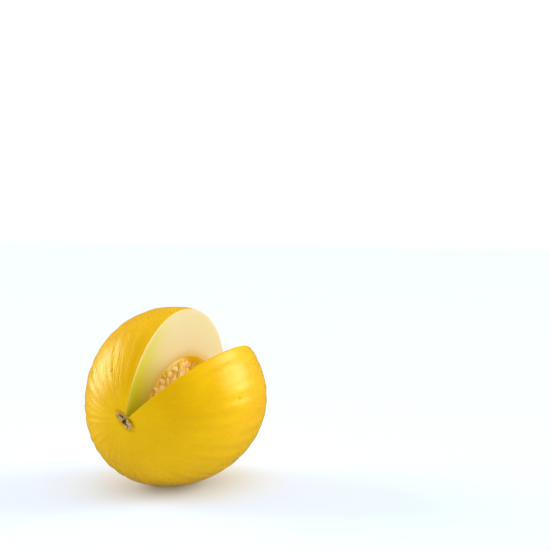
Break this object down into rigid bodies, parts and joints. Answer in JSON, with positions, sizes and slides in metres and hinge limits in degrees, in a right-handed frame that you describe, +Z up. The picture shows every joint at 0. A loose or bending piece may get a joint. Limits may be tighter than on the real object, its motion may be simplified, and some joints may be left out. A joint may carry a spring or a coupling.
{
  "type": "canary melon",
  "caption": "Oval yellow melon lying on its side, with one lengthwise wedge cut out that shows pale flesh and the seed mass.",
  "frame": {"origin": "under the middle of the whole fruit, on the surface it rests on", "axes": "+Z up, +Y along the fruit from the stem to the blossom end, +X towards the side the missing wedge opens to"},
  "size_m": [0.1498, 0.1864, 0.1526],
  "materials": {
    "rind_and_flesh": "satin",
    "cork": "matte",
    "pulp_and_seeds": "satin"
  },
  "bodies": {
    "root": {"melon_body": "rind_and_flesh", "stem_scar": "cork", "seed_mass": "pulp_and_seeds"}
  },
  "joints": []
}
